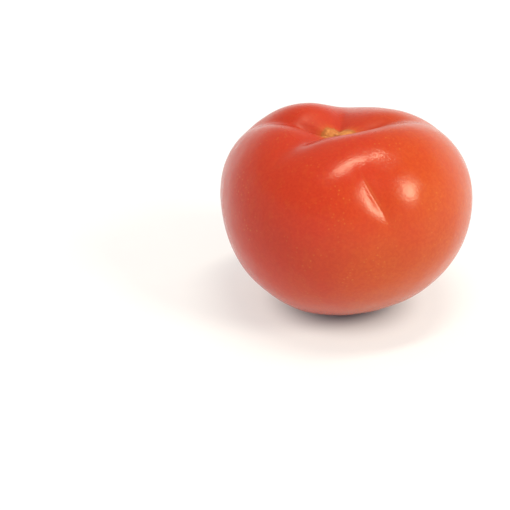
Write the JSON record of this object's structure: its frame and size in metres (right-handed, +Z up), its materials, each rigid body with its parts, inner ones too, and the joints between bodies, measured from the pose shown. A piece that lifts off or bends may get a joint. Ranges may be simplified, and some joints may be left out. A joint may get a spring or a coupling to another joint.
{
  "type": "tomato",
  "caption": "Whole ripe red slicing tomato with soft lobes, a furrowed stem cavity with its corky scar, and a small flat spot it rests on.",
  "frame": {"origin": "middle of the fruit's footprint, on the surface that it stands on", "axes": "+Z up through the stem scar, which is on top; -Y is the fruit's front; +X is to the right seen from the front"},
  "size_m": [0.0764, 0.0754, 0.0618],
  "materials": {
    "tomato_skin": "waxy gloss"
  },
  "bodies": {
    "root": {"tomato": "tomato_skin"}
  },
  "joints": []
}
